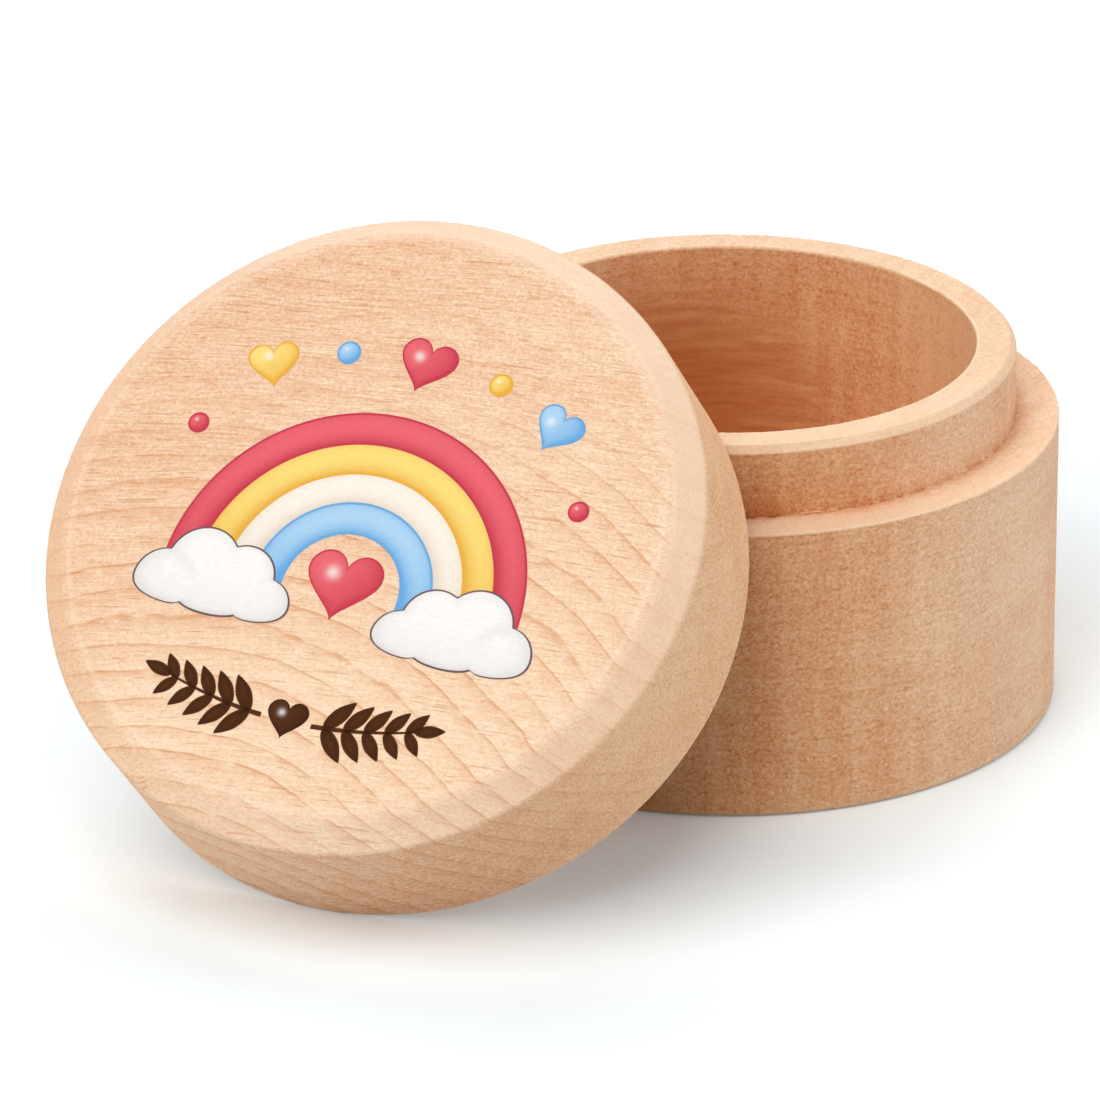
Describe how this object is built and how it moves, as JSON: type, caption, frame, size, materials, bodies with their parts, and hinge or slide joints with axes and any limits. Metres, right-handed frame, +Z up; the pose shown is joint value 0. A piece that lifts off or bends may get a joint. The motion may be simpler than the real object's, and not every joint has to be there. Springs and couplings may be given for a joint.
{
  "type": "baby tooth box",
  "caption": "Round turned wooden keepsake box: a cup-shaped base with a stepped spigot rim, and a loose thick bevelled lid that fits over it, shown off and leaning on the base.",
  "frame": {"origin": "centre of the base's flat underside, on the base's turning axis, on the floor", "axes": "+Z up the base's turning axis; the picture's camera looks along +Y, with +X to its right; the open lid leans on the base's rim from the -X -Y side, its face up and towards -Y"},
  "size_m": [0.0751, 0.0764, 0.0437],
  "materials": {
    "base_wood": "matte, finely sanded",
    "lid_wood": "matte, finely sanded, printed face"
  },
  "bodies": {
    "base": {"base": "base_wood"},
    "lid": {"lid": "lid_wood"}
  },
  "joints": [
    {"name": "lid_lift", "type": "slide", "parent": "base", "child": "lid", "axis": [-0.2711, -0.6544, 0.7059], "range_m": [0, 0.06]}
  ]
}
